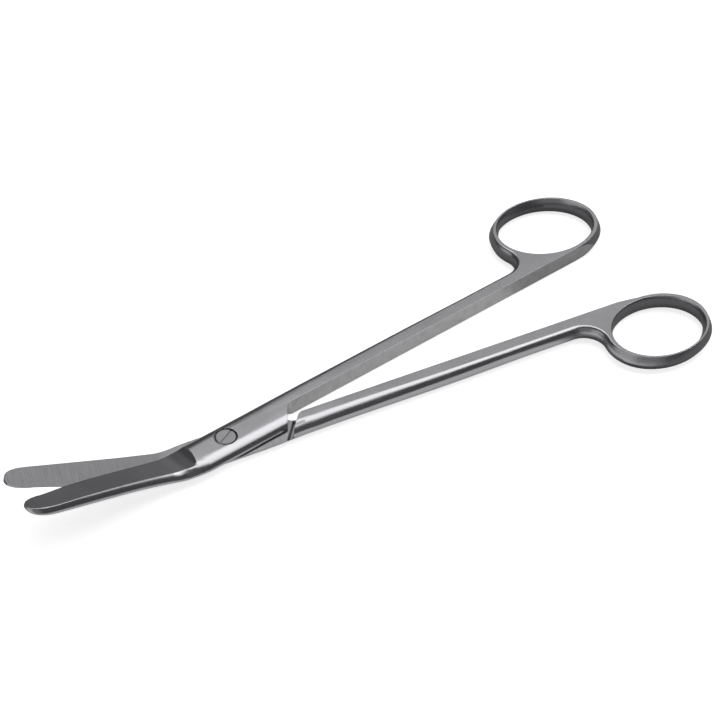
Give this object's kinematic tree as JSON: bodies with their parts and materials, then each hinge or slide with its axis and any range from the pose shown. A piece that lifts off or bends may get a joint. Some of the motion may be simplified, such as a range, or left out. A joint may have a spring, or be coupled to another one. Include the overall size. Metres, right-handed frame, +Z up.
{
  "type": "suture scissors",
  "caption": "Long-handled surgical scissors with blunt, slightly angled blades, a lapped screw joint and oval finger rings.",
  "frame": {"origin": "on the pivot's axis, at the level of the underside of the lower half, where the screw's end lies flush", "axes": "+X along the instrument from the pivot to the finger rings, midway between the two shanks; the blades point to -X; +Y towards the upper half's ring; +Z up along the pivot's axis, from the flush end of the screw to its slotted head"},
  "size_m": [0.1966, 0.079, 0.017],
  "materials": {
    "satin_stainless_steel": "satin ground and lightly polished",
    "turned_stainless_steel": "fine turned"
  },
  "bodies": {
    "lower": {"lower_half": "satin_stainless_steel", "pivot_screw": "turned_stainless_steel"},
    "upper": {"upper_half": "satin_stainless_steel"}
  },
  "joints": [
    {"name": "pivot", "type": "hinge", "parent": "lower", "child": "upper", "pos_m": [0, 0, 0], "axis": [0, 0, 1], "range_deg": [-11.7, 78.3]}
  ]
}
